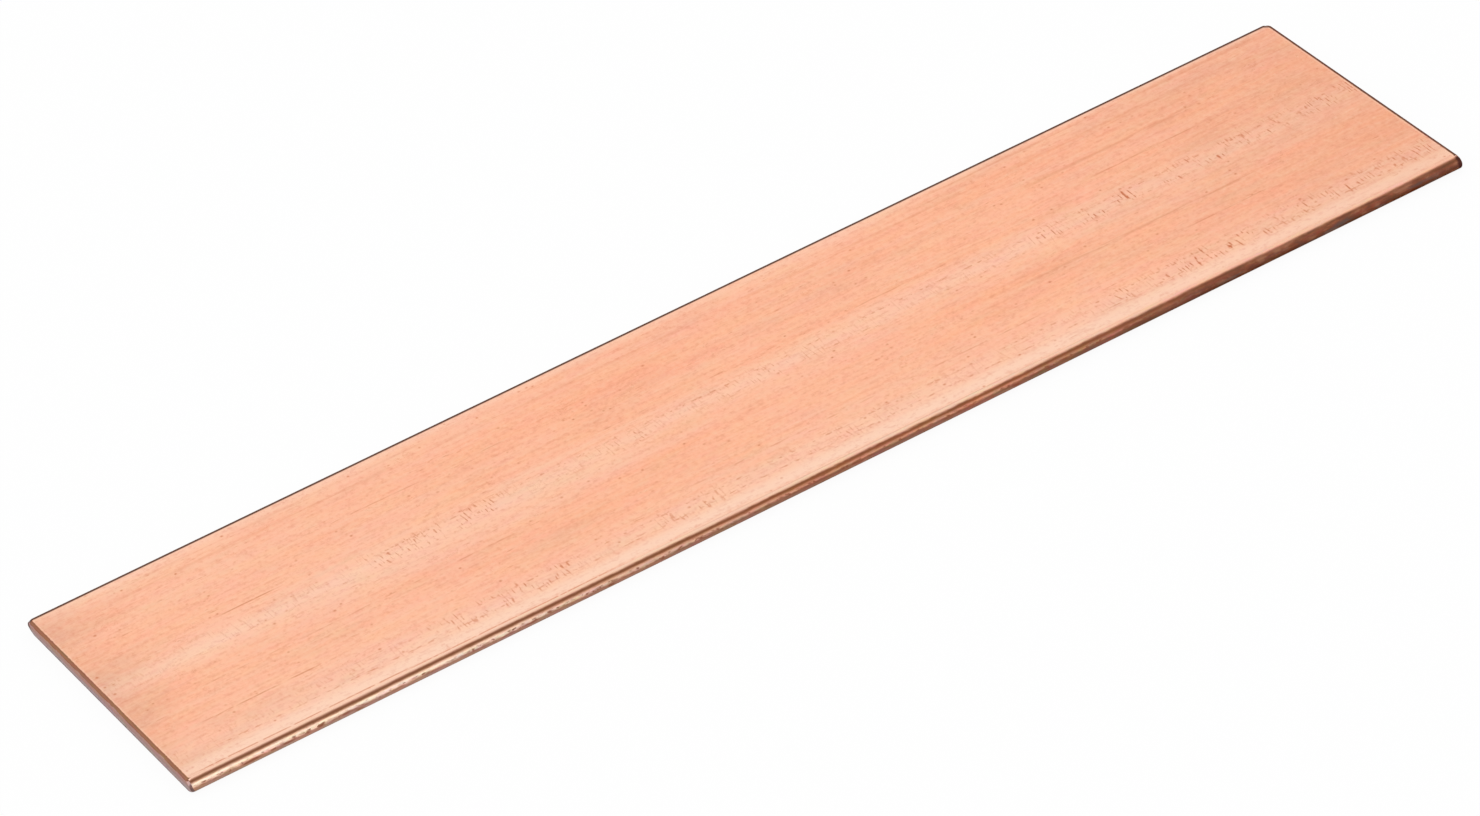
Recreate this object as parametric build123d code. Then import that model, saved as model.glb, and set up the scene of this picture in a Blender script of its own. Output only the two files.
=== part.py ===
from build123d import *
import os

# Copper flat bar: rolled strip with full-round long edges, sheared to length.
#
# The bar lies flat. X runs along it, Y across it and Z up through its thickness. The
# origin is in the middle of the underside. All sizes are in millimetres.

# Stock size. The long edges are full rounds, with a radius of half the thickness.
bar_length = 304.8
bar_width = 76.2
bar_thickness = 3.175

# Ends, as the shear leaves them: dragged down, cut clean, then torn
drag_run = 0.8           # how far back from the cut the upper face starts to dip
drag_drop = 0.35         # how far it has dipped at the cut
clean_cut_depth = 1.05   # height of the smooth band that the blade cuts
tear_setback = 0.13      # how far the torn band leans back by the underside

# Corners, seen from above
corner_clip = 0.8        # leg of the small facet where the sharp point is knocked off

half_length = bar_length / 2
half_width = bar_width / 2


def rolled_strip():
    """Strip that is longer than the bar: two broad faces joined by full-round edges."""
    with BuildSketch(Plane.YZ.offset(-bar_length)) as section:
        with Locations((0, bar_thickness / 2)):
            SlotOverall(bar_width, bar_thickness)
    return extrude(section.sketch, 2 * bar_length)


def shear_envelope():
    """Side view between the two shear cuts, wider than the bar."""
    cut_top = bar_thickness - drag_drop
    tear_top = cut_top - clean_cut_depth
    drag_start = half_length - drag_run
    with BuildSketch(Plane.XZ.offset(-bar_width)) as side_view:
        with BuildLine():
            Line((0, 0), (half_length - tear_setback, 0))
            Line((half_length - tear_setback, 0), (half_length, tear_top))
            Line((half_length, tear_top), (half_length, cut_top))
            EllipticalCenterArc((drag_start, cut_top), drag_run, drag_drop, arc_size=90)
            Line((drag_start, bar_thickness), (0, bar_thickness))
            Line((0, bar_thickness), (0, 0))
        make_face()
        mirror(about=Plane.YZ)
    return extrude(side_view.sketch, 2 * bar_width)


def corner_scraps():
    """The four small wedges that are knocked off the corners."""
    with BuildSketch() as plan_view:
        with BuildLine():
            Polyline(
                (half_length - corner_clip, half_width),
                (half_length, half_width - corner_clip),
                (half_length + corner_clip, half_width + corner_clip),
                close=True,
            )
        make_face()
        mirror(about=Plane.YZ)
        mirror(about=Plane.XZ)
    return extrude(plan_view.sketch, bar_thickness)


def flat_bar():
    """The strip trimmed at both ends by the shear, with its corners blunted."""
    return (rolled_strip() & shear_envelope()) - corner_scraps()


os.makedirs("parts", exist_ok=True)
bar = flat_bar()
export_step(bar, "parts/flat_bar.step")
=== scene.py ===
"""Copper flat bar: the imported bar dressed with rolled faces, full-round edges and sheared ends."""

import logging
import math
import random
from collections.abc import Iterable
from dataclasses import asdict, dataclass
from enum import Enum
from functools import reduce

import bmesh
import bpy
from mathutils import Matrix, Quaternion, Vector, noise


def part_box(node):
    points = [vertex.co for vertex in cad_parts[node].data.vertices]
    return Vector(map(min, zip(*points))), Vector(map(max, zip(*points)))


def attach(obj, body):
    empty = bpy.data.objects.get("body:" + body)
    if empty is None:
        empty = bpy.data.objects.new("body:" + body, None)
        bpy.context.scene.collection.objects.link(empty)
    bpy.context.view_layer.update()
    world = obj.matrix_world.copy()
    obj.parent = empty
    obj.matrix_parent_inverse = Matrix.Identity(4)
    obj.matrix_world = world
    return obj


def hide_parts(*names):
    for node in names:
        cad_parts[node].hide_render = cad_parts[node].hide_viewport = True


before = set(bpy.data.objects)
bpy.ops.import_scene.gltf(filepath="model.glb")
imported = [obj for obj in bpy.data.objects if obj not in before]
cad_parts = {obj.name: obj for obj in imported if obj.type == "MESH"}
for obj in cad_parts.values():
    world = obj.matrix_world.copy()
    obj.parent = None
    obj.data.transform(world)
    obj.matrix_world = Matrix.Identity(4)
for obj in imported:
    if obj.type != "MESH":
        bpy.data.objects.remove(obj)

MM = 0.001
BAR_NODE = "flat_bar"
BODY = "root"
DENT = "dent"
SNUG = 1e-6
WHITE = (1.0, 1.0, 1.0)
MIX_FACTOR, MIX_FIRST, MIX_SECOND, MIX_RESULT = 0, 6, 7, 2

Colour = tuple[float, float, float]
Profile = tuple[tuple[float, float], ...]
Scale = tuple[tuple[float, Colour], ...]
Socket = bpy.types.NodeSocket
Feed = Socket | float | Vector | Colour

log = logging.getLogger("copper_flat_bar")


class Finish(Enum):
    """Which finish a face of the bar wears; the value is its material slot on the mesh."""

    ROLLED_FACE = 0
    ROLLED_EDGE = 1
    SHEARED_END = 2


class Direction(Enum):
    """The three directions of the blank's lattice."""

    ALONG = 0
    ACROSS = 1
    THROUGH = 2


class Side(Enum):
    """The two long edges; the value is the sign of their place across the bar."""

    FRONT = -1
    BACK = 1


@dataclass(frozen=True)
class Fade:
    """An ease from start to end, while something goes from low to high."""

    low: float
    high: float
    start: float = 0.0
    end: float = 1.0


@dataclass(frozen=True)
class Pattern:
    """Soft noise: its size in millimetres along the bar, its size across and through, and its seed."""

    along: float
    across: float
    seed: float


@dataclass(frozen=True)
class Patches:
    """A mask of patches: the soft noise that they are cut from, and how it fades into the mask."""

    pattern: Pattern
    fade: Fade


@dataclass(frozen=True)
class Relief:
    """A relief too fine for the mesh: its strength, and its depth in millimetres."""

    strength: float
    depth: float


@dataclass(frozen=True)
class Tint:
    """A wander of colour from place to place: the noise behind it, and how strong it is."""

    pattern: Pattern
    amount: float


@dataclass(frozen=True)
class Specks:
    """Scattered dots: their size and spacing in millimetres, their seed and how deep they show."""

    size: float
    spacing: float
    seed: float
    depth: float


@dataclass(frozen=True)
class Chatter:
    """Strokes across the bar: pitch, width and patch size in millimetres, cover, seed and depth."""

    pitch: float
    thickness: float
    reach: float
    cover: float
    seed: float
    depth: float


@dataclass(frozen=True)
class Streak:
    """A drawn line along a broad face: its place and size in millimetres, its cover and its depth."""

    centre: float
    start: float
    stop: float
    width: float
    dash: float
    cover: float
    depth: float


AT_FAR_END = Fade(-10.0, 10.0)
AT_NEAR_END = Fade(-10.0, 10.0, 1.0, 0.0)
AT_BACK = Fade(-1.0, 1.0)


# ---------------------------------------------------------------- node trees


class NodeSheet:
    """A node tree with short ways of adding nodes and wiring them."""

    def __init__(self, tree: bpy.types.NodeTree) -> None:
        """Take over a tree and clear it."""
        self.tree = tree
        self.tree.nodes.clear()

    def add(self, kind: str, feeds: dict | None = None, **settings: object) -> bpy.types.Node:
        """Add a node.

        Args:
            kind: the node's type name, such as ShaderNodeMath.
            feeds: what goes into its inputs, by name or index: a socket or a plain value.
            settings: the node's own properties.

        Returns:
            The new node.
        """
        node = self.tree.nodes.new(kind)
        for name, value in settings.items():
            setattr(node, name, value)
        for key, value in (feeds or {}).items():
            self.feed(node.inputs[key], value)
        return node

    def feed(self, socket: Socket, value: Feed) -> None:
        """Feed an input.

        Args:
            socket: the input.
            value: a socket to wire into it, or the plain value to set it to.
        """
        if isinstance(value, Socket):
            self.tree.links.new(value, socket)
        elif socket.type == "RGBA":
            socket.default_value = (*value, 1.0)
        else:
            socket.default_value = value

    def maths(self, operation: str, *terms: Feed) -> Socket:
        """Add a Math node on one to three terms and return its result."""
        feeds = dict(enumerate(terms))
        return self.add("ShaderNodeMath", feeds, operation=operation).outputs[0]

    def fold(self, operation: str, *terms: Feed) -> Socket:
        """Chain a Math operation over several terms, from the first to the last."""
        return reduce(lambda first, second: self.maths(operation, first, second), terms)

    def total(self, *terms: Feed) -> Socket:
        """Add several terms up."""
        return self.fold("ADD", *terms)

    def product(self, *factors: Feed) -> Socket:
        """Multiply several factors."""
        return self.fold("MULTIPLY", *factors)

    def highest(self, *terms: Feed) -> Socket:
        """Take the highest of several terms."""
        return self.fold("MAXIMUM", *terms)

    def less(self, value: Feed, taken: Feed) -> Socket:
        """Take one value from another."""
        return self.maths("SUBTRACT", value, taken)

    def size(self, value: Feed) -> Socket:
        """The size of a value, whichever its sign."""
        return self.maths("ABSOLUTE", value)

    def swing(self, value: Feed, size: Feed) -> Socket:
        """Turn a value from 0 to 1 into one that swings about 0, with a size from end to end."""
        return self.product(self.less(value, 0.5), size)

    def ramp(self, value: Feed, low: Feed, high: Feed, start: Feed = 0.0, end: Feed = 1.0) -> Socket:
        """Ease a value from start to end while it goes from low to high."""
        return self._range("SMOOTHSTEP", value, low, high, start, end)

    def line(self, value: Feed, low: Feed, high: Feed, start: Feed = 0.0, end: Feed = 1.0) -> Socket:
        """Take a value straight from start to end while it goes from low to high."""
        return self._range("LINEAR", value, low, high, start, end)

    def _range(self, interpolation: str, *feeds: Feed) -> Socket:
        """Add a Map Range node.

        Args:
            interpolation: the way from start to end.
            feeds: the value, then low, high, start and end.

        Returns:
            The mapped value.
        """
        names = ("Value", "From Min", "From Max", "To Min", "To Max")
        node = self.add("ShaderNodeMapRange", dict(zip(names, feeds)), interpolation_type=interpolation)
        return node.outputs["Result"]

    def fade(self, value: Feed, fade: Fade) -> Socket:
        """Ease a value as a fade says."""
        return self.ramp(value, fade.low, fade.high, fade.start, fade.end)

    def straight(self, value: Feed, fade: Fade) -> Socket:
        """Take a value from a fade's start to its end with no ease."""
        return self.line(value, fade.low, fade.high, fade.start, fade.end)

    def scale(self, value: Feed, stops: Scale) -> Socket:
        """Read a colour off a scale.

        Args:
            value: where to read it.
            stops: values in rising order, each with its colour.

        Returns:
            The colour at the value.
        """
        low, high = stops[0][0], stops[-1][0]
        node = self.add("ShaderNodeValToRGB", {"Fac": self.line(value, low, high)})
        scale = node.color_ramp
        scale.interpolation = "EASE"
        scale.elements.remove(scale.elements[-1])
        for at, colour in stops:
            place = (at - low) / (high - low)
            element = scale.elements[0] if at == low else scale.elements.new(place)
            element.position = place
            element.color = (*colour, 1.0)
        return node.outputs["Color"]

    def profile(self, value: Feed, stops: Profile) -> Socket:
        """Read a number from 0 to 1 off a scale of values in rising order."""
        return self.parts(self.scale(value, tuple((at, (tone,) * 3) for at, tone in stops)))[0]

    def fades(self, *pairs: tuple[Feed, Fade]) -> Socket:
        """Ease several values, each as its own fade says, and multiply the results."""
        return self.product(*(self.fade(value, fade) for value, fade in pairs))

    def blend(self, amount: Feed, first: Feed, second: Feed) -> Socket:
        """Mix two colours by an amount."""
        feeds = {MIX_FACTOR: amount, MIX_FIRST: first, MIX_SECOND: second}
        return self.add("ShaderNodeMix", feeds, data_type="RGBA").outputs[MIX_RESULT]

    def layers(self, colour: Feed, *coats: tuple[Feed, Feed]) -> Socket:
        """Lay coats over a colour.

        Args:
            colour: the colour.
            coats: how much there is of each coat and its colour, from the lowest to the topmost.

        Returns:
            The colour with the coats on it.
        """
        for amount, coat in coats:
            colour = self.blend(amount, colour, coat)
        return colour

    def vector(self, operation: str, first: Feed, second: Feed) -> Socket:
        """Add a Vector Math node on two vectors, or on a vector and its scale."""
        feeds = {0: first, "Scale" if operation == "SCALE" else 1: second}
        return self.add("ShaderNodeVectorMath", feeds, operation=operation).outputs[0]

    def joined(self, *parts: Feed) -> Socket:
        """Join three numbers into a vector."""
        return self.add("ShaderNodeCombineXYZ", dict(enumerate(parts))).outputs[0]

    def stretched(self, place: Feed, sizes: tuple[Feed, Feed, Feed], seed: Feed) -> Socket:
        """Divide a place by the size of a pattern along each axis, and shift it by a seed."""
        scaled = self.vector("DIVIDE", place, self.joined(*sizes))
        return self.vector("ADD", scaled, self.joined(seed, seed, seed))

    def noise(self, place: Feed, detail: float = 2.0, roughness: float = 0.5) -> Socket:
        """Noise of one unit in size, from 0 to 1."""
        feeds = {"Vector": place, "Scale": 1.0, "Detail": detail, "Roughness": roughness}
        return self.add("ShaderNodeTexNoise", feeds).outputs["Fac"]

    def parts(self, vector: Feed) -> tuple[Socket, ...]:
        """Split a vector into its three parts."""
        return tuple(self.add("ShaderNodeSeparateXYZ", {0: vector}).outputs)

    def use(self, group: bpy.types.NodeTree, **feeds: Feed) -> Socket:
        """Place a shared group.

        Args:
            group: the group.
            feeds: what goes into its inputs, by their names in small letters.

        Returns:
            Its first output.
        """
        node = self.add("ShaderNodeGroup", node_tree=group)
        for name, value in feeds.items():
            self.feed(node.inputs[name.capitalize()], value)
        return node.outputs[0]


class SharedEffects:
    """The surface effects that the finishes share, each a node group built once."""

    def __init__(self) -> None:
        """Build the five groups."""
        self.grain = self._grain()
        self.tint = self._tint()
        self.streak = self._streak()
        self.chatter = self._chatter()
        self.specks = self._specks()

    @staticmethod
    def _group(
        name: str, numbers: Iterable[str], coloured: bool = False
    ) -> tuple[NodeSheet, dict[str, Socket], Socket]:
        """Open a group.

        Args:
            name: the group's name.
            numbers: names of its number inputs, after Place, which is a vector.
            coloured: whether it takes a colour and gives one, in place of giving a mask.

        Returns:
            Its sheet, its input sockets by name, and the socket that its result goes into.
        """
        tree = bpy.data.node_groups.new(name, "ShaderNodeTree")
        result, kind = ("Colour", "NodeSocketColor") if coloured else ("Mask", "NodeSocketFloat")
        tree.interface.new_socket(name=result, in_out="OUTPUT", socket_type=kind)
        tree.interface.new_socket(name="Place", in_out="INPUT", socket_type="NodeSocketVector")
        if coloured:
            tree.interface.new_socket(name=result, in_out="INPUT", socket_type=kind)
        for label in numbers:
            tree.interface.new_socket(name=label, in_out="INPUT", socket_type="NodeSocketFloat")
        sheet = NodeSheet(tree)
        entry = sheet.add("NodeGroupInput")
        leave = sheet.add("NodeGroupOutput")
        return sheet, {socket.name: socket for socket in entry.outputs}, leave.inputs[result]

    def _grain(self) -> bpy.types.NodeTree:
        """Soft noise with a size along the bar and another one across it and through it.

        Returns:
            The group.
        """
        sheet, entry, mask = self._group("grain", ("Along", "Across", "Seed"))
        sizes = (entry["Along"], entry["Across"], entry["Across"])
        place = sheet.stretched(entry["Place"], sizes, entry["Seed"])
        sheet.feed(mask, sheet.noise(place, detail=3.0, roughness=0.6))
        return sheet.tree

    def _tint(self) -> bpy.types.NodeTree:
        """A colour whose red, green and blue each wander a little from place to place.

        Returns:
            The group.
        """
        middle, full = (0.5, 0.5, 0.5), WHITE
        sheet, entry, result = self._group("tint", ("Along", "Across", "Amount", "Seed"), coloured=True)
        sizes = (entry["Along"], entry["Across"], entry["Across"])
        place = sheet.stretched(entry["Place"], sizes, entry["Seed"])
        look = {"Vector": place, "Scale": 1.0, "Detail": 2.0, "Roughness": 0.6}
        clouds = sheet.add("ShaderNodeTexNoise", look).outputs["Color"]
        change = sheet.vector("SCALE", sheet.vector("SUBTRACT", clouds, middle), entry["Amount"])
        wandered = sheet.vector("MULTIPLY", entry["Colour"], sheet.vector("ADD", change, full))
        sheet.feed(result, sheet.vector("MINIMUM", wandered, full))
        return sheet.tree

    def _streak(self) -> bpy.types.NodeTree:
        """A broken line along the bar at one place across it, from a start to a stop.

        Returns:
            The group.
        """
        straight, drift_length, drift_size = 1e4, 40.0, 1.0
        dash_across, dash_through, dash_detail = 0.8, 2.0, 3.0
        dash_ease, end_ease = 0.16, 6.0
        names = ("Centre", "Width", "Start", "Stop", "Dash", "Cover", "Seed")
        sheet, entry, mask = self._group("streak", names)
        place, start, stop, seed = (entry[name] for name in ("Place", "Start", "Stop", "Seed"))
        along, across, _ = sheet.parts(place)
        drift = sheet.noise(sheet.stretched(place, (drift_length, straight, straight), seed))
        offset = sheet.less(sheet.total(across, sheet.swing(drift, drift_size)), entry["Centre"])
        near = sheet.maths("DIVIDE", sheet.size(offset), entry["Width"])
        line = sheet.ramp(near, 0.0, 1.0, 1.0, 0.0)
        dash_place = sheet.stretched(place, (entry["Dash"], dash_across, dash_through), seed)
        dash = sheet.noise(dash_place, detail=dash_detail)
        least = sheet.less(1.0, entry["Cover"])
        drawn = sheet.ramp(dash, least, sheet.total(least, dash_ease))
        begun = sheet.ramp(along, start, sheet.total(start, end_ease))
        ended = sheet.ramp(along, sheet.less(stop, end_ease), stop, 1.0, 0.0)
        sheet.feed(mask, sheet.product(line, drawn, begun, ended))
        return sheet.tree

    def _chatter(self) -> bpy.types.NodeTree:
        """Fine strokes across the bar at an even pitch, in ragged patches.

        Returns:
            The group.
        """
        wander_sizes, wander_size = (4.0, 26.0, 26.0), 5.0
        ragged_sizes, ragged_detail, ragged_fade = (0.6, 1.7, 1.7), 1.0, Fade(0.42, 0.60)
        stroke_core, patch_ease = 0.2, 0.14
        names = ("Pitch", "Thickness", "Reach", "Cover", "Seed")
        sheet, entry, mask = self._group("chatter", names)
        place, pitch, width, reach, seed = (entry[name] for name in ("Place", *names[:3], "Seed"))
        along, _, _ = sheet.parts(place)
        wander = sheet.noise(sheet.stretched(place, wander_sizes, seed))
        phase = sheet.total(sheet.maths("DIVIDE", along, pitch), sheet.swing(wander, wander_size))
        offset = sheet.size(sheet.swing(sheet.maths("FRACT", phase), pitch))
        stroke = sheet.ramp(offset, sheet.product(width, stroke_core), width, 1.0, 0.0)
        patch = sheet.noise(sheet.stretched(place, (reach, reach, reach), seed))
        least = sheet.less(1.0, entry["Cover"])
        gathered = sheet.ramp(patch, least, sheet.total(least, patch_ease))
        ragged = sheet.noise(sheet.stretched(place, ragged_sizes, seed), detail=ragged_detail)
        sheet.feed(mask, sheet.product(stroke, gathered, sheet.fade(ragged, ragged_fade)))
        return sheet.tree

    def _specks(self) -> bpy.types.NodeTree:
        """Scattered dots, left out in some of their cells.

        Returns:
            The group.
        """
        picked = Fade(0.45, 0.9)
        sheet, entry, mask = self._group("specks", ("Size", "Spacing", "Seed"))
        spacing = entry["Spacing"]
        place = sheet.stretched(entry["Place"], (spacing, spacing, spacing), entry["Seed"])
        cells = sheet.add("ShaderNodeTexVoronoi", {"Vector": place, "Scale": 1.0})
        reach = sheet.maths("DIVIDE", entry["Size"], spacing)
        dot = sheet.ramp(cells.outputs["Distance"], 0.0, reach, 1.0, 0.0)
        pick, _, _ = sheet.parts(cells.outputs["Color"])
        sheet.feed(mask, sheet.product(dot, sheet.fade(pick, picked)))
        return sheet.tree


def new_material(name: str) -> bpy.types.Material:
    """Make a node material.

    Args:
        name: its name.

    Returns:
        The material.
    """
    material = bpy.data.materials.new(name)
    material.use_nodes = True
    return material


def new_object(name: str, data: bpy.types.ID) -> bpy.types.Object:
    """Make an object and bring it into the scene.

    Args:
        name: its name.
        data: its mesh, camera or lamp.

    Returns:
        The object.
    """
    thing = bpy.data.objects.new(name, data)
    bpy.context.scene.collection.objects.link(thing)
    return thing


class Surface(NodeSheet):
    """A new material's nodes, with the place on the bar in millimetres and the shared effects."""

    def __init__(self, name: str, effects: SharedEffects, turned: bool = False) -> None:
        """Start the material.

        Args:
            name: its name.
            effects: the shared node groups.
            turned: whether the effects lie across the bar, as on its ends, and not along it.
        """
        self.material = new_material(name)
        super().__init__(self.material.node_tree)
        self.effects = effects
        place = self.vector("SCALE", self.add("ShaderNodeTexCoord").outputs["Object"], 1 / MM)
        self.along, self.across, self.up = self.parts(place)
        self.place = self.joined(self.across, self.up, self.along) if turned else place

    def grain(self, pattern: Pattern) -> Socket:
        """Lay the soft noise of a pattern."""
        return self.use(self.effects.grain, place=self.place, **asdict(pattern))

    def mask(self, patches: Patches) -> Socket:
        """Lay a mask of patches."""
        return self.fade(self.grain(patches.pattern), patches.fade)

    def laid(
        self, group: bpy.types.NodeTree, marks: Specks | Chatter | Streak, **more: Feed
    ) -> Socket:
        """Lay marks, as deep as they show.

        Args:
            group: the node group that draws them.
            marks: their sizes.
            more: inputs of the group that the sizes don't name.

        Returns:
            The mask of the marks.
        """
        feeds = asdict(marks) | more
        depth = feeds.pop("depth")
        return self.product(self.use(group, place=self.place, **feeds), depth)

    def tinted(self, colour: Feed, tints: Iterable[Tint], share: Socket | None = None) -> Socket:
        """Let a colour wander.

        Args:
            colour: the colour.
            tints: the wanders, one on top of the other.
            share: how much of each amount counts, from place to place; all of it if left out.

        Returns:
            The colour with the tints on it.
        """
        for tint in tints:
            amount = tint.amount if share is None else self.product(share, tint.amount)
            feeds = {"place": self.place, "colour": colour, "amount": amount, **asdict(tint.pattern)}
            colour = self.use(self.effects.tint, **feeds)
        return colour

    def metal(
        self, colour: Feed, roughness: Feed, height: Feed, relief: Relief, grazing_tint: Colour = WHITE
    ) -> bpy.types.Material:
        """Close the material as bare metal.

        Args:
            colour: its colour.
            roughness: its roughness.
            height: height of its relief, from 0 to 1.
            relief: how strong and deep the relief is.
            grazing_tint: tint of what it mirrors at a grazing angle.

        Returns:
            The material.
        """
        feeds = {"Height": height, "Strength": relief.strength, "Distance": relief.depth * MM}
        shader = self.add("ShaderNodeBsdfPrincipled", {
            "Base Color": colour,
            "Metallic": 1.0,
            "Roughness": roughness,
            "Specular Tint": grazing_tint,
            "Normal": self.add("ShaderNodeBump", feeds).outputs["Normal"],
        })
        self.add("ShaderNodeOutputMaterial", {"Surface": shader.outputs["BSDF"]})
        return self.material


# ---------------------------------------------------------------- finishes


@dataclass(frozen=True)
class RolledFaceFinish:
    """Satin copper of the two broad faces, with the streaks and chatter that the rolls leave."""

    half_length: float
    flat_half: float
    drag_run: float
    warm: Colour = (1.0, 0.468, 0.284)
    pale: Colour = (1.0, 0.680, 0.515)
    shade: Colour = (0.70, 0.209, 0.112)
    far_shade: Colour = (0.62, 0.245, 0.135)
    dull: Colour = (0.68, 0.385, 0.262)
    gleam: Colour = (1.0, 0.640, 0.435)
    mark: Colour = (0.58, 0.137, 0.030)
    # Painted shade along the back rim and at the far back corner.
    soot: Colour = (0.17, 0.090, 0.068)
    roughness: float = 0.36
    marked_roughness: float = 0.51
    full_mark: float = 0.6
    contrast: float = 0.55
    tones_across: Profile = (
        (-36.6, 0.50), (-31.0, 0.47), (-28.0, 0.40), (-23.5, 0.20), (-17.0, 0.12),
        (-9.5, 0.10), (-4.5, 0.20), (-1.5, 0.34), (1.5, 0.48), (5.5, 0.33), (9.0, 0.16),
        (14.0, 0.11), (22.0, 0.11), (28.5, 0.11), (31.5, 0.22), (34.0, 0.27), (36.6, 0.27),
    )
    # Painted highlights: paler lines along the shoulders and a lip on the back, for the brighter
    # surroundings that they mirror.
    front_shoulder: Profile = (
        (-36.6, 0.42), (-36.2, 0.50), (-35.75, 0.80), (-35.0, 0.95), (-34.2, 0.90), (-33.2, 0.68),
        (-32.4, 0.36), (-31.6, 0.10), (-30.6, 0.0), (0.0, 0.0),
    )
    front_fade: Profile = (
        (-152.4, 0.8), (-140.0, 1.0), (-60.0, 1.0), (0.0, 0.92), (60.0, 0.86), (110.0, 0.68),
        (152.4, 0.48),
    )
    back_shoulder: Profile = (
        (32.0, 0.0), (33.6, 0.06), (34.6, 0.26), (35.4, 0.46), (36.6, 0.46),
    )
    back_fade: Profile = (
        (-152.4, 0.6), (-140.0, 1.0), (-40.0, 1.0), (30.0, 0.5), (75.0, 0.0), (152.4, 0.0),
    )
    pale_along: Profile = (
        (-152.4, 0.06), (-130.0, 0.12), (-90.0, 0.12), (-62.0, 0.05), (-35.0, 0.0), (152.4, 0.0),
    )
    shade_along: Profile = (
        (-90.0, 0.0), (60.0, 0.0), (95.0, 0.08), (125.0, 0.17), (152.4, 0.24),
    )
    dull_along: Profile = (
        (-152.4, 0.42), (-148.0, 0.25), (-141.0, 0.08), (-132.0, 0.0), (152.4, 0.0),
    )
    back_lip: Profile = ((35.0, 0.0), (35.7, 0.42), (36.6, 0.55))
    lip_fade: Profile = ((-20.0, 0.0), (50.0, 0.8), (152.4, 0.8))
    tints: tuple[Tint, ...] = (Tint(Pattern(13.0, 6.0, 14.0), 0.12), Tint(Pattern(4.5, 2.6, 17.0), 0.09))
    clouds: Pattern = Pattern(45.0, 11.0, 3.1)
    cloud_depth: float = 0.34
    cloud_push_across: float = 5.0
    cloud_push_along: float = 24.0
    long_clouds: Pattern = Pattern(110.0, 3.2, 6.7)
    long_cloud_depth: float = 0.50
    smudges: Patches = Patches(Pattern(26.0, 8.0, 61.0), Fade(0.48, 0.72, 0.0, 0.11))
    # Painted highlight on the lip next to each end.
    drag_light: Fade = Fade(0.12, 0.40, 0.38, 0.0)
    rim_start: float = 0.35
    rim_stop: float = 0.05
    # Painted shade at the far back corner.
    corner_soot: Fade = Fade(1.75, 2.1, 0.9, 0.0)
    texture: tuple[tuple[Pattern, float], ...] = (
        (Pattern(14.0, 0.9, 19.3), 0.24), (Pattern(4.0, 0.40, 9.3), 0.18),
        (Pattern(1.5, 1.5, 6.8), 0.34), (Pattern(0.6, 0.7, 5.9), 0.24),
    )
    texture_middle: float = 0.50
    texture_reach: float = 0.20
    relief: Relief = Relief(0.12, 0.02)
    streak_seed: float = 10.0
    streak_seed_step: float = 3.7
    dashes: Patches = Patches(Pattern(2.8, 0.36, 41.0), Fade(0.61, 0.73))
    dash_patches: Patches = Patches(Pattern(14.0, 5.0, 43.0), Fade(0.43, 0.60, 0.0, 0.44))
    curls: Pattern = Pattern(2.4, 1.8, 51.0)
    curl_level: float = 0.56
    curl_line: Fade = Fade(0.0, 0.018, 1.0, 0.0)
    curl_patches: Patches = Patches(Pattern(9.0, 6.0, 53.0), Fade(0.55, 0.68, 0.0, 0.32))
    dots: Specks = Specks(0.6, 6.0, 31.0, 0.65)
    pits: Specks = Specks(0.5, 1.6, 33.0, 0.66)
    pit_patches: Patches = Patches(Pattern(12.0, 5.0, 35.0), Fade(0.49, 0.61))
    chatter: Chatter = Chatter(1.1, 0.24, 4.2, 0.58, 21.0, 0.80)
    chatter_rows: tuple[float, ...] = (2.3, -29.0)
    chatter_edge: Fade = Fade(1.8, 4.2, 1.0, 0.0)
    chatter_along: Profile = (
        (-152.0, 0.25), (-93.0, 0.25), (-90.0, 0.7), (-60.0, 0.8), (-57.0, 0.25), (-45.0, 0.2),
        (-28.0, 0.7), (-20.0, 0.2), (8.0, 0.5), (30.0, 0.2), (70.0, 0.3), (74.0, 1.0), (80.0, 0.4),
        (88.0, 1.0), (110.0, 1.0), (113.0, 0.5), (117.0, 1.0), (124.0, 0.6), (129.0, 1.0), (137.0, 0.5),
        (144.0, 1.0), (152.0, 0.9),
    )
    streaks: tuple[Streak, ...] = tuple(Streak(*sizes) for sizes in (
        (33.2, -135.0, -50.0, 0.7, 12.0, 0.60, 0.12),
        (29.7, -140.0, 130.0, 1.0, 9.0, 0.62, 0.14),
        (21.0, -110.0, -45.0, 0.36, 5.0, 0.56, 0.32),
        (21.2, 78.0, 126.0, 0.9, 7.0, 0.64, 0.26),
        (14.0, 90.0, 122.0, 0.40, 5.0, 0.62, 0.36),
        (8.9, -124.0, -106.0, 0.36, 3.0, 0.66, 0.55),
        (8.8, -35.0, 60.0, 0.36, 4.0, 0.54, 0.34),
        (4.2, -90.0, 150.0, 0.5, 1.0, 0.50, 0.46),
        (0.2, -140.0, 148.0, 0.45, 1.3, 0.46, 0.42),
        (-10.4, -142.0, -60.0, 0.36, 4.0, 0.55, 0.36),
        (-10.1, 60.0, 120.0, 0.8, 8.0, 0.62, 0.28),
        (-17.6, 95.0, 121.0, 0.40, 5.0, 0.62, 0.40),
        (-21.6, -144.0, -107.0, 0.36, 3.0, 0.60, 0.52),
        (-22.4, -30.0, 60.0, 0.36, 4.0, 0.56, 0.34),
        (-27.2, -88.0, 150.0, 0.5, 1.0, 0.50, 0.46),
        (-30.9, -146.0, 150.0, 0.45, 1.6, 0.54, 0.46),
        (34.3, 60.0, 150.0, 0.9, 12.0, 0.66, 0.20),
        (-35.95, -152.0, -98.0, 0.30, 1.3, 0.68, 0.62),
        (-36.25, -104.0, -50.0, 0.30, 1.3, 0.70, 0.55),
    ))

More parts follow.
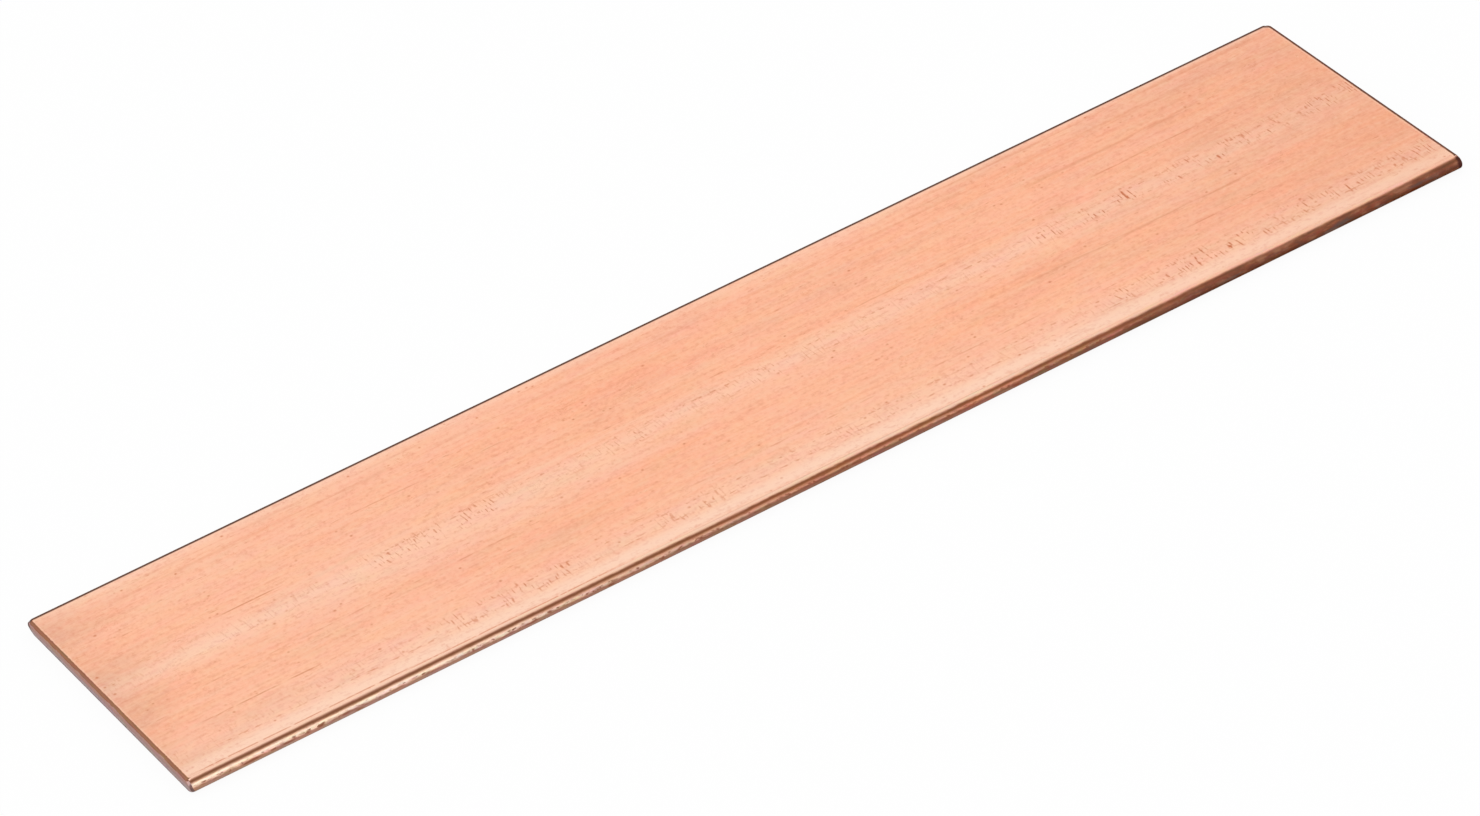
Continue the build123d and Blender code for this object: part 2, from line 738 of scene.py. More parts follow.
    def material(self, effects: SharedEffects) -> bpy.types.Material:
        """Build the material.

        Args:
            effects: the shared node groups.

        Returns:
            The material of the broad faces.
        """
        sheet = Surface("rolled_copper_face", effects)
        colour, relief = self._texture(sheet, self._ground(sheet))
        marks = self._marks(sheet)
        # Painted shade: a dark line along the back rim of the face and at the far back corner.
        rim = sheet.ramp(sheet.across, self.flat_half - self.rim_start, self.flat_half - self.rim_stop)
        inside = sheet.less(self.half_length + self.flat_half, sheet.total(sheet.along, sheet.across))
        rim = sheet.highest(rim, sheet.fade(inside, self.corner_soot))
        colour = sheet.layers(colour, (marks, self.mark), (rim, self.soot))
        roughness = sheet.ramp(marks, 0.0, self.full_mark, self.roughness, self.marked_roughness)
        return sheet.metal(colour, roughness, relief, self.relief)

    def _ground(self, sheet: Surface) -> Socket:
        """The broad tones: paler bands along the bar, clouds, darker metal towards the ends, and painted
        highlights on the shoulders and at the ends.

        Args:
            sheet: the material's nodes.

        Returns:
            The colour.
        """
        along, across = sheet.along, sheet.across
        clouds = sheet.grain(self.clouds)
        pushed = sheet.total(across, sheet.swing(clouds, self.cloud_push_across))
        tone = sheet.total(
            sheet.profile(pushed, self.tones_across),
            sheet.profile(along, self.pale_along),
            sheet.swing(sheet.grain(self.long_clouds), self.long_cloud_depth),
            sheet.swing(clouds, self.cloud_depth),
        )
        ground = sheet.blend(sheet.highest(tone, 0.0), self.warm, self.pale)
        pushed = sheet.total(along, sheet.swing(clouds, self.cloud_push_along))
        ground = sheet.layers(
            ground,
            (sheet.profile(pushed, self.shade_along), self.far_shade),
            (sheet.mask(self.smudges), self.far_shade),
            (sheet.profile(pushed, self.dull_along), self.dull),
        )
        # Painted highlights along the shoulders and the back lip.
        painted_highlights = (
            (self.front_shoulder, self.front_fade),
            (self.back_shoulder, self.back_fade),
            (self.back_lip, self.lip_fade),
        )
        lit = sheet.highest(*(
            sheet.product(sheet.profile(across, section), sheet.profile(along, fade))
            for section, fade in painted_highlights
        ))
        # Painted highlight on the lip next to each end.
        inboard = sheet.less(self.half_length - self.drag_run, sheet.size(along))
        end_light = sheet.fade(inboard, self.drag_light)
        ground = sheet.tinted(ground, self.tints)
        return sheet.layers(ground, (lit, self.pale), (end_light, self.pale))

    def _texture(self, sheet: Surface, colour: Feed) -> tuple[Socket, Socket]:
        """The close texture: fine streaks over a mottle of the same depth.

        Args:
            sheet: the material's nodes.
            colour: the ground that it lies on.

        Returns:
            The textured colour, and the height of the texture.
        """
        relief = sheet.total(*(
            sheet.product(sheet.grain(pattern), share) for pattern, share in self.texture
        ))
        middle, reach = self.texture_middle, self.texture_reach
        dark = sheet.line(relief, middle, middle - reach, 0.0, self.contrast)
        light = sheet.line(relief, middle, middle + reach, 0.0, self.contrast)
        return sheet.layers(colour, (dark, self.shade), (light, self.gleam)), relief

    def _marks(self, sheet: Surface) -> Socket:
        """How deep the marks are: drawn streaks, short dashes, curls, chatter and specks.

        Args:
            sheet: the material's nodes.

        Returns:
            The depth, from 0 to 1.
        """
        effects = sheet.effects
        marks: list[Feed] = []
        for number, streak in enumerate(self.streaks):
            seed = self.streak_seed + self.streak_seed_step * number
            marks.append(sheet.laid(effects.streak, streak, seed=seed))
        off_line = sheet.size(sheet.less(sheet.grain(self.curls), self.curl_level))
        curls = sheet.fade(off_line, self.curl_line)
        strokes = sheet.laid(effects.chatter, self.chatter)
        strokes = sheet.product(strokes, sheet.profile(sheet.along, self.chatter_along))
        for row in self.chatter_rows:
            offset = sheet.size(sheet.less(sheet.across, row))
            marks.append(sheet.product(strokes, sheet.fade(offset, self.chatter_edge)))
        marks += [
            sheet.product(sheet.mask(self.dashes), sheet.mask(self.dash_patches)),
            sheet.product(curls, sheet.mask(self.curl_patches)),
            sheet.laid(effects.specks, self.dots),
            sheet.product(sheet.laid(effects.specks, self.pits), sheet.mask(self.pit_patches)),
        ]
        return sheet.highest(*marks)


@dataclass(frozen=True)
class RolledEdgeFinish:
    """Copper of the long edges, with painted reflections: a painted dark band under each shoulder and a
    painted highlight on the crown.

    The colours are given by the turn of the surface from straight up, in degrees, and paint the light
    and shade that the round mirrors: for the front edge's brightly lit, half-lit and dark lengths, and
    for the back edge.
    """

    thickness: float
    flat_half: float
    half_length: float
    # Painted reflections by turn: sheen at the top, a painted dark band under the shoulder, a painted
    # highlight on the crown, a shaded floor mirrored below.
    bright: Scale = (
        (-24.0, (0.84, 0.50, 0.36)), (-15.0, (1.0, 0.67, 0.50)),
        (-3.0, (1.0, 0.67, 0.50)), (5.0, (0.84, 0.50, 0.36)),
        (13.0, (0.44, 0.21, 0.135)), (20.0, (0.255, 0.102, 0.053)),
        (29.0, (0.25, 0.10, 0.050)), (36.0, (0.42, 0.215, 0.13)),
        (43.0, (0.78, 0.50, 0.355)), (52.0, (1.0, 0.79, 0.61)),
        (65.0, (0.97, 0.71, 0.53)), (77.0, (0.64, 0.37, 0.27)),
        (88.0, (0.43, 0.21, 0.145)), (102.0, (0.42, 0.225, 0.165)),
        (120.0, (0.50, 0.30, 0.23)), (180.0, (0.55, 0.28, 0.18)),
    )
    worn: Scale = (
        (-24.0, (0.82, 0.48, 0.345)), (-18.0, (0.92, 0.56, 0.40)),
        (-12.0, (1.0, 0.66, 0.48)), (-2.0, (1.0, 0.65, 0.46)),
        (6.0, (0.84, 0.47, 0.32)), (13.0, (0.42, 0.185, 0.11)),
        (20.0, (0.24, 0.082, 0.035)), (31.0, (0.245, 0.085, 0.037)),
        (42.0, (0.50, 0.22, 0.13)), (50.0, (0.67, 0.32, 0.20)),
        (58.0, (0.47, 0.21, 0.13)), (70.0, (0.29, 0.12, 0.07)),
        (88.0, (0.27, 0.115, 0.075)), (110.0, (0.34, 0.17, 0.125)),
        (180.0, (0.45, 0.22, 0.14)),
    )
    dark: Scale = (
        (-24.0, (0.97, 0.58, 0.42)), (-6.0, (1.0, 0.56, 0.40)),
        (2.0, (0.82, 0.41, 0.28)), (10.0, (0.46, 0.195, 0.12)),
        (17.0, (0.28, 0.107, 0.058)), (28.0, (0.21, 0.072, 0.036)),
        (45.0, (0.205, 0.064, 0.035)), (60.0, (0.20, 0.062, 0.034)),
        (80.0, (0.155, 0.048, 0.025)), (100.0, (0.125, 0.040, 0.022)),
        (118.0, (0.13, 0.056, 0.038)), (180.0, (0.30, 0.14, 0.09)),
    )
    # The back edge's painted reflections, dark under the shoulder.
    back: Scale = (
        (0.0, (0.17, 0.090, 0.068)), (40.0, (0.12, 0.062, 0.046)),
        (62.0, (0.45, 0.22, 0.14)), (74.0, (0.60, 0.32, 0.22)),
        (95.0, (0.30, 0.135, 0.085)), (180.0, (0.50, 0.25, 0.16)),
    )
    slide: Profile = (
        (-152.0, 0.31), (-130.0, 0.39), (-110.0, 0.50), (-90.0, 0.54), (-60.0, 0.71), (-30.0, 0.85),
        (0.0, 0.95), (30.0, 0.95), (60.0, 0.90), (88.0, 0.84), (112.0, 1.0), (133.0, 0.88),
        (152.0, 0.50),
    )
    slid_low: Fade = Fade(72.0, 118.0, 27.0, 0.0)
    # The painted highlight fades along the front edge, from brightly lit at the near end to dark at the
    # far end.
    bright_to_worn: Fade = Fade(-104.0, -8.0)
    worn_to_dark: Fade = Fade(38.0, 90.0)
    coarse: Pattern = Pattern(9.0, 1.4, 2.2)
    fine: Pattern = Pattern(1.6, 0.4, 7.9)
    ragged_low: Fade = Fade(20.0, 90.0, 0.2, 1.0)
    coarse_turn: float = 32.0
    fine_turn: float = 32.0
    coarse_run: float = 50.0
    fine_run: float = 30.0
    tints: tuple[Tint, ...] = (Tint(Pattern(7.0, 1.6, 24.0), 0.60), Tint(Pattern(1.8, 0.5, 27.0), 0.60))
    tinted_low: Fade = Fade(50.0, 80.0, 0.22, 0.70)
    tinted_far: Fade = Fade(-60.0, 60.0, 0.0, 0.30)
    mottled: Fade = Fade(0.5, 0.7, 0.0, 0.35)
    mottled_low: Fade = Fade(20.0, 60.0)
    # Bites: painted shade of small dents along the lower border of the painted highlight.
    bites: Patches = Patches(Pattern(1.5, 0.7, 13.0), Fade(0.54, 0.66, 0.0, 0.90))
    bite_top: Fade = Fade(60.0, 100.0, 64.0, 44.0)
    bite_border: float = 10.0
    bite_foot: Fade = Fade(88.0, 104.0, 1.0, 0.0)
    far_patches: Pattern = Pattern(5.0, 1.8, 17.0)
    far_along: Fade = Fade(60.0, 105.0)
    far_low: Fade = Fade(26.0, 44.0)
    rubbed_part: Fade = Fade(0.50, 0.64, 0.0, 0.55)
    # Darker patches on the far part of the edges.
    sooted_part: Fade = Fade(0.50, 0.38, 0.0, 0.50)
    stained: Fade = Fade(0.48, 0.60, 0.0, 0.6)
    stained_low: Fade = Fade(50.0, 90.0)
    stained_far: Fade = Fade(70.0, 110.0)
    # Painted shade: the edges' last millimetre at the far end, painted nearly black.
    tip_run: Fade = Fade(0.7, 1.3, 0.90, 0.0)
    tip_swing: float = 0.9
    tip_low: Fade = Fade(4.0, 16.0)
    weathered_run: Fade = Fade(0.6, 1.5, 0.85, 0.0)
    # Painted shade in the dents: dented places painted darker.
    dented: Fade = Fade(0.2, 0.9, 0.0, 0.75)
    relief: Relief = Relief(0.4, 0.03)
    polish: Fade = Fade(0.3, 0.7, 0.26, 0.40)
    # Colour of the darker patches on the far part of the edges.
    soot: Colour = (0.12, 0.050, 0.032)
    rubbed: Colour = (0.33, 0.150, 0.088)
    stain: Colour = (0.105, 0.085, 0.078)
    # Colour of the random mottle, and painted shade of the bites and dents.
    bruise: Colour = (0.26, 0.083, 0.044)
    tip: Colour = (0.062, 0.019, 0.016)
    weathered: Colour = (0.13, 0.100, 0.096)
    grazing_tint: Colour = (0.45, 0.34, 0.30)

    def material(self, effects: SharedEffects) -> bpy.types.Material:
        """Build the material.

        Args:
            effects: the shared node groups.

        Returns:
            The material of the long edges.
        """
        sheet = Surface("rolled_copper_edge", effects)
        along, across = sheet.along, sheet.across
        coarse, fine = sheet.grain(self.coarse), sheet.grain(self.fine)
        out = sheet.less(sheet.size(across), self.flat_half)
        rise = sheet.less(sheet.up, self.thickness / 2)
        turn = sheet.maths("DEGREES", sheet.maths("ARCTAN2", out, rise))
        share = sheet.total(sheet.fade(turn, self.tinted_low), sheet.fade(along, self.tinted_far))
        # Painted reflections by the turn of the surface, with a wander of colour.
        colour = sheet.tinted(self._tarnish(sheet, turn, (coarse, fine)), self.tints, share)
        mottle = sheet.fades((fine, self.mottled), (turn, self.mottled_low))
        # Bites: painted shade of small dents along the lower border of the painted highlight.
        top = sheet.fade(along, self.bite_top)
        border = sheet.ramp(turn, top, sheet.total(top, self.bite_border))
        bites = sheet.product(sheet.mask(self.bites), border, sheet.fade(turn, self.bite_foot))
        patches = sheet.grain(self.far_patches)
        far = sheet.fades((along, self.far_along), (turn, self.far_low))
        far_low = sheet.fades((turn, self.stained_low), (along, self.stained_far))
        stained = sheet.product(sheet.fade(coarse, self.stained), far_low)
        # Painted shade at the far end of the edges.
        inboard = sheet.total(sheet.less(self.half_length, along), sheet.swing(fine, self.tip_swing))
        tipped = sheet.fades((inboard, self.tip_run), (turn, self.tip_low))
        # Greyer at the near back corner of the edges.
        to_near_end = sheet.total(self.half_length, along)
        cornered = sheet.fades((to_near_end, self.weathered_run), (across, AT_BACK))
        dent = sheet.add("ShaderNodeAttribute", attribute_name=DENT).outputs["Fac"]
        colour = sheet.layers(
            colour,
            (mottle, self.bruise),
            (bites, self.bruise),
            (sheet.product(sheet.fade(patches, self.rubbed_part), far), self.rubbed),
            (sheet.product(sheet.fade(patches, self.sooted_part), far), self.soot),
            (stained, self.stain),
            (tipped, self.tip),
            (cornered, self.weathered),
            (sheet.fade(dent, self.dented), self.bruise),
        )
        return sheet.metal(colour, sheet.fade(fine, self.polish), fine, self.relief, self.grazing_tint)

    def _tarnish(self, sheet: Surface, turn: Feed, grains: tuple[Feed, Feed]) -> Socket:
        """The painted reflections around and along the edges: bands of painted highlight and painted
        shade.

        Args:
            sheet: the material's nodes.
            turn: turn of the surface from straight up, in degrees.
            grains: a coarse and a fine noise that make the borders ragged.

        Returns:
            The colour.
        """
        along = sheet.along
        coarse, fine = grains
        swings = sheet.total(sheet.swing(coarse, self.coarse_turn), sheet.swing(fine, self.fine_turn))
        ragged = sheet.total(turn, sheet.product(swings, sheet.straight(turn, self.ragged_low)))
        slid = sheet.product(sheet.profile(along, self.slide), sheet.straight(turn, self.slid_low))
        level = sheet.less(ragged, slid)
        runs = sheet.total(sheet.swing(coarse, self.coarse_run), sheet.swing(fine, self.fine_run))
        length = sheet.total(along, runs)
        # Painted light and shade: the brightly lit bands, then the half-lit and the dark ones laid over
        # them along the bar.
        return sheet.layers(
            sheet.scale(level, self.bright),
            (sheet.straight(length, self.bright_to_worn), sheet.scale(level, self.worn)),
            (sheet.straight(length, self.worn_to_dark), sheet.scale(level, self.dark)),
            (sheet.fade(sheet.across, AT_BACK), sheet.scale(ragged, self.back)),
        )


@dataclass(frozen=True)
class ShearedEndFinish:
    """Cut ends: the dragged roll-over browned, the clean cut mauve, the tear under it greyer, with a
    painted highlight on the drag's rim and painted shade at the far end.
    """

    thickness: float
    half_length: float
    half_width: float
    flat_half: float
    drag_run: float
    drag_drop: float
    tear_top: float
    # Painted highlight on the rim of the drag.
    rim: Colour = (1.0, 0.54, 0.37)
    dragged: Colour = (0.33, 0.148, 0.090)
    # Painted shade: the drag of the far end, which faces away, painted darker.
    far_dragged: Colour = (0.20, 0.100, 0.074)
    clean: Colour = (0.66, 0.44, 0.40)
    seam: Colour = (0.46, 0.30, 0.28)
    torn: Colour = (0.48, 0.36, 0.36)
    torn_pale: Colour = (0.58, 0.44, 0.43)
    foot: Colour = (0.27, 0.225, 0.24)
    tints: tuple[Tint, ...] = (Tint(Pattern(9.0, 0.8, 34.0), 0.36), Tint(Pattern(2.0, 0.4, 37.0), 0.32))
    # Darker towards the long edges, more so at the far end; greyer at the near back corner.
    knocked: Colour = (0.13, 0.055, 0.045)
    weathered: Colour = (0.13, 0.100, 0.096)
    corner: float = 0.6
    grazing_tint: Colour = (0.45, 0.34, 0.30)
    sway: Pattern = Pattern(5.0, 2.5, 4.4)
    grit: Pattern = Pattern(0.7, 0.5, 9.1)
    sway_height: float = 0.9
    grit_height: float = 0.3
    broken: Fade = Fade(-0.10, 0.05, 1.0, 0.0)
    seam_foot: Fade = Fade(-0.16, 0.0, 0.0, 0.7)
    seam_top: Fade = Fade(0.02, 0.24, 1.0, 0.0)
    paler: Fade = Fade(0.35, 0.65)
    foot_height: Fade = Fade(0.15, 0.6, 0.85, 0.0)
    outer_reach: Fade = Fade(-10.0, 10.0, 0.75, 1.3)
    outer_ease: float = 0.4
    outer_depth: float = 0.8
    far_corner: Fade = Fade(3.3, 3.8, 0.9, 0.0)
    relief: Relief = Relief(0.6, 0.08)
    cut_roughness: float = 0.33
    torn_roughness: float = 0.58
    rolled: Fade = Fade(-0.07, 0.14)
    rolled_sway: float = 0.5
    rolled_grit: float = 0.14
    rim_grit: float = 0.26
    rim_width: float = 0.16
    far_rim_width: float = 0.18

    @property
    def corner_start(self) -> float:
        """Distance from the middle plane at which the corner of the upper face begins."""
        return self.flat_half - self.corner

    def material(self, effects: SharedEffects) -> bpy.types.Material:
        """Build the material.

        Args:
            effects: the shared node groups.

        Returns:
            The material of the two ends.
        """
        sheet = Surface("sheared_copper_end", effects, turned=True)
        along, across = sheet.along, sheet.across
        sway, grit = sheet.grain(self.sway), sheet.grain(self.grit)
        sways = sheet.total(sheet.swing(sway, self.sway_height), sheet.swing(grit, self.grit_height))
        edge = sheet.total(sheet.up, sways)
        over = sheet.less(edge, self.tear_top)
        broken = sheet.fade(over, self.broken)
        torn = sheet.layers(
            self.torn,
            (sheet.fade(grit, self.paler), self.torn_pale),
            (sheet.fade(edge, self.foot_height), self.foot),
        )
        seam = sheet.fades((over, self.seam_foot), (over, self.seam_top))
        cut = sheet.layers(self.clean, (broken, torn), (seam, self.seam))
        colour = sheet.tinted(self._drag(sheet, (sway, grit), cut), self.tints)
        outside = sheet.less(self.half_width, sheet.size(across))
        grey = sheet.fades((along, AT_NEAR_END), (across, AT_BACK))
        reach = sheet.total(sheet.fade(along, self.outer_reach), grey)
        outmost = sheet.ramp(outside, sheet.less(reach, self.outer_ease), reach, self.outer_depth, 0.0)
        inside = sheet.less(self.half_length + self.half_width, sheet.total(along, across))
        # Painted shade at the far back corner, in the drag's darker colour.
        colour = sheet.layers(
            colour,
            (outmost, sheet.blend(grey, self.knocked, self.weathered)),
            (sheet.fade(inside, self.far_corner), self.far_dragged),
        )
        roughness = sheet.ramp(broken, 0.0, 1.0, self.cut_roughness, self.torn_roughness)
        height = sheet.product(grit, broken)
        return sheet.metal(colour, roughness, height, self.relief, self.grazing_tint)

    def _drag(self, sheet: Surface, grains: tuple[Feed, Feed], colour: Feed) -> Socket:
        """Brown the roll-over and the top of the cut, darker as painted shade at the far end, and paint
        a highlight on the rim where the drag starts.

        Args:
            sheet: the material's nodes.
            grains: a coarse and a fine noise that make the borders ragged.
            colour: the colour of the cut.

        Returns:
            The colour with the drag on it.
        """
        sway, grit = grains
        over = sheet.highest(sheet.less(sheet.size(sheet.across), self.corner_start), 0.0)
        left = sheet.less(self.corner**2, sheet.product(over, over))
        arc = sheet.maths("SQRT", sheet.highest(left, 0.0))
        end = sheet.total(arc, self.half_length - self.corner)
        back = sheet.less(end, sheet.size(sheet.along))
        far = sheet.fade(sheet.along, AT_FAR_END)
        sways = sheet.total(sheet.swing(grit, self.rolled_grit), sheet.swing(sway, self.rolled_sway))
        over_cut = sheet.less(sheet.total(sheet.up, sways), self.thickness - self.drag_drop)
        # Painted shade: the drag darker at the far end.
        drag = sheet.blend(far, self.dragged, self.far_dragged)
        # Painted highlight along the rim where the drag starts.
        start = sheet.total(back, sheet.swing(grit, self.rim_grit))
        near_rim, far_rim = self.drag_run - self.rim_width, self.drag_run - self.far_rim_width
        rim = sheet.ramp(start, sheet.line(far, 0.0, 1.0, near_rim, far_rim), self.drag_run)
        return sheet.layers(colour, (sheet.fade(over_cut, self.rolled), drag), (rim, self.rim))


BarFinish = RolledFaceFinish | RolledEdgeFinish | ShearedEndFinish


# ---------------------------------------------------------------- the bar


@dataclass(frozen=True)
class RoundEdge:
    """Full-round long edge of the bar's section, in millimetres."""

    width: float
    thickness: float
    rows: int = 20

    @property
    def radius(self) -> float:
        """Radius of the round."""
        return self.thickness / 2

    @property
    def flat_half(self) -> float:
        """Distance from the middle plane to where the broad faces meet the round."""
        return self.width / 2 - self.radius

    def turn(self, row: int) -> float:
        """Turn of the surface from straight up, in radians, at a row counted from the underside."""
        return math.pi * (1 - row / self.rows)

    def point(self, row: int, sunk: float) -> tuple[float, float]:
        """Find a point of the section.

        Args:
            row: its row, counted from the underside.
            sunk: how far it is sunk, in millimetres.

        Returns:
            Its distance from the middle plane and its height, in millimetres.
        """
        reach = self.radius - sunk
        turn = self.turn(row)
        return self.flat_half + reach * math.sin(turn), self.radius + reach * math.cos(turn)


@dataclass(frozen=True)
class Nick:
    """A small dent in a long edge: where it is along and around the edge, its length and depth."""

    side: Side
    along: float
    turn: float
    length: float
    depth: float
    spread: float = math.radians(11)
    reach: float = 3.0

    def sink(self, along: float, turn: float) -> float:
        """How deep the dent is at a place on its edge, in millimetres."""
        away = ((along - self.along) / self.length) ** 2 + ((turn - self.turn) / self.spread) ** 2
        return self.depth * math.exp(-away) if away < self.reach**2 else 0.0


@dataclass(frozen=True)
class EdgeWear:
    """Dents and slight waves along the long edges, in millimetres."""

    half_length: float
    front_nicks: int = 84
    back_nicks: int = 30
    wave: float = 0.03
    wave_length: float = 11.0
    side_shift: float = 7.3
    deepest: float = 0.16
    seed: int = 11
    first: float = -0.97
    span: float = 1.9
    gathering: float = 1.4
    turns: tuple[float, float] = (74, 122)
    lengths: tuple[float, float] = (0.35, 1.3)
    depths: tuple[float, float] = (0.2, 1.0)
    depth_power: float = 1.5

    def nicks(self) -> list[Nick]:
        """Scatter the dents, more of them low down on the front edge's first half.

        Returns:
            The dents, first those of the front edge.
        """
        dice = random.Random(self.seed)
        dents = []
        for side, count in ((Side.FRONT, self.front_nicks), (Side.BACK, self.back_nicks)):
            for _ in range(count):
                along = self.half_length * (self.span * dice.random() ** self.gathering + self.first)
                turn = math.radians(dice.uniform(*self.turns))
                length = dice.uniform(*self.lengths)
                depth = dice.uniform(*self.depths) ** self.depth_power * self.deepest
                dents.append(Nick(side, along, turn, length, depth))
        return dents

    def waves(self, side: Side, along: float) -> float:
        """How far a long edge stands back in its slow waves, in millimetres."""
        swing = noise.noise(Vector((along / self.wave_length, self.side_shift * side.value, 0.0)))
        return self.wave * (1 + swing) / 2


@dataclass(frozen=True)
class ShearedEnd:
    """Shape that the shear gives an end, in millimetres."""

    thickness: float
    half_width: float
    drag_run: float = 0.8
    drag_drop: float = 0.35
    clean_depth: float = 1.05
    setback: float = 0.13
    front_corners: tuple[float, float] = (0.5, 0.12)
    back_corners: tuple[float, float] = (0.65, 0.7)
    front_growth: tuple[float, float] = (0.9, 0.0)
    back_growth: tuple[float, float] = (0.9, 0.3)
    growth_below: float = 0.5
    tear_wave: float = 0.16
    tear_wave_length: float = 3.5
    tear_wave_shift: float = 11.0
    tear_grit: float = 0.05
    grit_across: float = 0.9
    grit_up: float = 0.5
    grit_shift: float = 5.0
    grit_onset: float = 6.0
    drag_steps: int = 9

    @property
    def tear_top(self) -> float:
        """Height at which the clean cut ends and the tear begins."""
        return self.thickness - self.drag_drop - self.clean_depth

    def inset(self, end: float, across: float, height: float, inboard: float) -> float:
        """How far an end lies back from its furthest point.

        Args:
            end: 1 for the end on the far side of the middle, -1 for the other one.
            across: place across the bar.
            height: height over the underside.
            inboard: distance across the bar to the long edge at this height.

        Returns:
            The distance, in millimetres.
        """
        swing = noise.noise(Vector((across / self.tear_wave_length, self.tear_wave_shift * end, 0.0)))
        tear_top = self.tear_top + self.tear_wave * swing
        torn = max(0.0, 1.0 - height / tear_top)
        spot = Vector((across / self.grit_across, height / self.grit_up, self.grit_shift * end))
        grit = (1 + noise.noise(spot)) / 2
        lean = self.setback * torn + self.tear_grit * grit * min(1.0, self.grit_onset * torn)
        which = 0 if end < 0 else 1
        corner, growth = self.front_corners[which], self.front_growth[which]
        if across > 0:
            corner, growth = self.back_corners[which], self.back_growth[which]
        radius = corner + growth * max(0.0, self.growth_below - height / self.thickness)
        over = max(0.0, radius - inboard)
        return lean + radius - math.sqrt(max(0.0, radius**2 - over**2))

    def dip(self, step: int) -> tuple[float, float]:
        """Follow the drag of the upper face.

        Args:
            step: step of the drag, counted from the cut.

        Returns:
            The distance from the cut and the drop there, in millimetres.
        """
        turn = math.pi / 2 * (1 - step / self.drag_steps)
        run = self.drag_run * (1 - math.sin(turn))
        return run, self.drag_drop * (1 - math.cos(turn))


@dataclass
class FlatBar:
    """The bar as one closed mesh: a lattice blank drawn to its section and sheared shape.

    Sizes are in millimetres; length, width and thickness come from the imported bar.
    """

    length: float
    width: float
    thickness: float
    stations: int = 560
    columns: int = 100
    crowding: float = 1.5

    def __post_init__(self) -> None:
        """Work out the edges, their wear and the ends from the bar's own sizes."""
        self.edge = RoundEdge(self.width, self.thickness)
        self.end = ShearedEnd(self.thickness, self.width / 2)
        self.wear = EdgeWear(self.length / 2)
        self.nicks = self.wear.nicks()

    def build(self, finishes: dict[Finish, bpy.types.Material]) -> bpy.types.Object:
        """Make the bar.

        Args:
            finishes: the material of each finish.

        Returns:
            The finished object, riding on the bar's body and standing for its CAD node.
        """
        blank = self._blank()
        self._dress(blank)
        self._form(blank)
        self._join_underside(blank)
        self._crease(blank)
        mesh = bpy.data.meshes.new("dressed_flat_bar")
        blank.to_mesh(mesh)
        blank.free()
        for finish in Finish:
            mesh.materials.append(finishes[finish])
        bar = new_object("dressed_flat_bar", mesh)
        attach(bar, BODY)
        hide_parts(BAR_NODE)
        return bar

    def _blank(self) -> bmesh.types.BMesh:
        """A cube from -1 to 1 cut into stations along, columns across and rows through.

        Returns:
            The blank.
        """
        blank = bmesh.new()
        bmesh.ops.create_cube(blank, size=2.0)
        steps = {
            Direction.ALONG: self.stations,
            Direction.ACROSS: self.columns,
            Direction.THROUGH: self.edge.rows,
        }
        for direction, count in steps.items():
            edges = [edge for edge in blank.edges if self._runs(edge, direction)]
            bmesh.ops.subdivide_edges(blank, edges=edges, cuts=count - 1, use_grid_fill=True)
        return blank

    @staticmethod
    def _runs(edge: bmesh.types.BMEdge, direction: Direction) -> bool:
        """Whether an edge of the blank runs in a direction."""
        span = edge.verts[1].co - edge.verts[0].co
        return abs(span[direction.value]) > 0.5 * span.length

    def _dress(self, blank: bmesh.types.BMesh) -> None:
        """Give each face its finish, while the blank is still a cube.

        Args:
            blank: the blank.
        """
        last = 1.0 - 2.0 * self.end.drag_steps / self.stations
        for face in blank.faces:
            middle = face.calc_center_median()
            face.smooth = True
            if abs(middle.x) > 1.0 - SNUG or (middle.z > 1.0 - SNUG and abs(middle.x) > last):
                face.material_index = Finish.SHEARED_END.value
            elif abs(middle.y) > 1.0 - SNUG:
                face.material_index = Finish.ROLLED_EDGE.value
            else:
                face.material_index = Finish.ROLLED_FACE.value

    def _form(self, blank: bmesh.types.BMesh) -> None:
        """Move every vertex of the blank to its place on the bar, and note how far it is dented.

        Args:
            blank: the blank.
        """
        dent = blank.verts.layers.float.new(DENT)
        for vertex in blank.verts:
            place, dented = self._place(vertex.co)
            vertex.co = place * MM
            vertex[dent] = dented / self.wear.deepest

    def _place(self, lattice: Vector) -> tuple[Vector, float]:
        """Find where a vertex of the blank goes.

        Args:
            lattice: its place on the blank, from -1 to 1 on each axis.

        Returns:
            Its place on the bar and the depth of the dent there, in millimetres.
        """
        row = round((lattice.z + 1) / 2 * self.edge.rows)
        from_end = round((1 - abs(lattice.x)) / 2 * self.stations)
        reach, drop = self._station(from_end)
        half = self.length / 2
        side = Side.FRONT if lattice.y < 0 else Side.BACK
        on_edge = abs(lattice.y) > 1.0 - SNUG and 0 < row < self.edge.rows
        dented = waved = 0.0
        if on_edge:
            along, turn = math.copysign(reach, lattice.x), self.edge.turn(row)
            dented = sum(nick.sink(along, turn) for nick in self.nicks if nick.side is side)
            waved = self.wear.waves(side, along) * math.sin(turn)
        out, height = self.edge.point(row, dented + waved)
        inboard = self.width / 2 * (1 - abs(lattice.y)) ** self.crowding
        across = math.copysign(out - inboard * out / (self.width / 2), lattice.y)
        limit = half - self.end.inset(math.copysign(1.0, lattice.x), across, height, inboard)
        sink = drop * (height / self.thickness) ** 2
        return Vector((math.copysign(reach * limit / half, lattice.x), across, height - sink)), dented

    def _station(self, from_end: int) -> tuple[float, float]:
        """Find a station.

        Args:
            from_end: its number, counted from an end.

        Returns:
            Its distance from the middle and the drop of the upper face there, in millimetres.
        """
        half = self.length / 2
        if from_end <= self.end.drag_steps:
            run, drop = self.end.dip(from_end)
            return half - run, drop
        inner = (from_end - self.end.drag_steps) / (self.stations / 2 - self.end.drag_steps)
        return (half - self.end.drag_run) * (1 - inner), 0.0

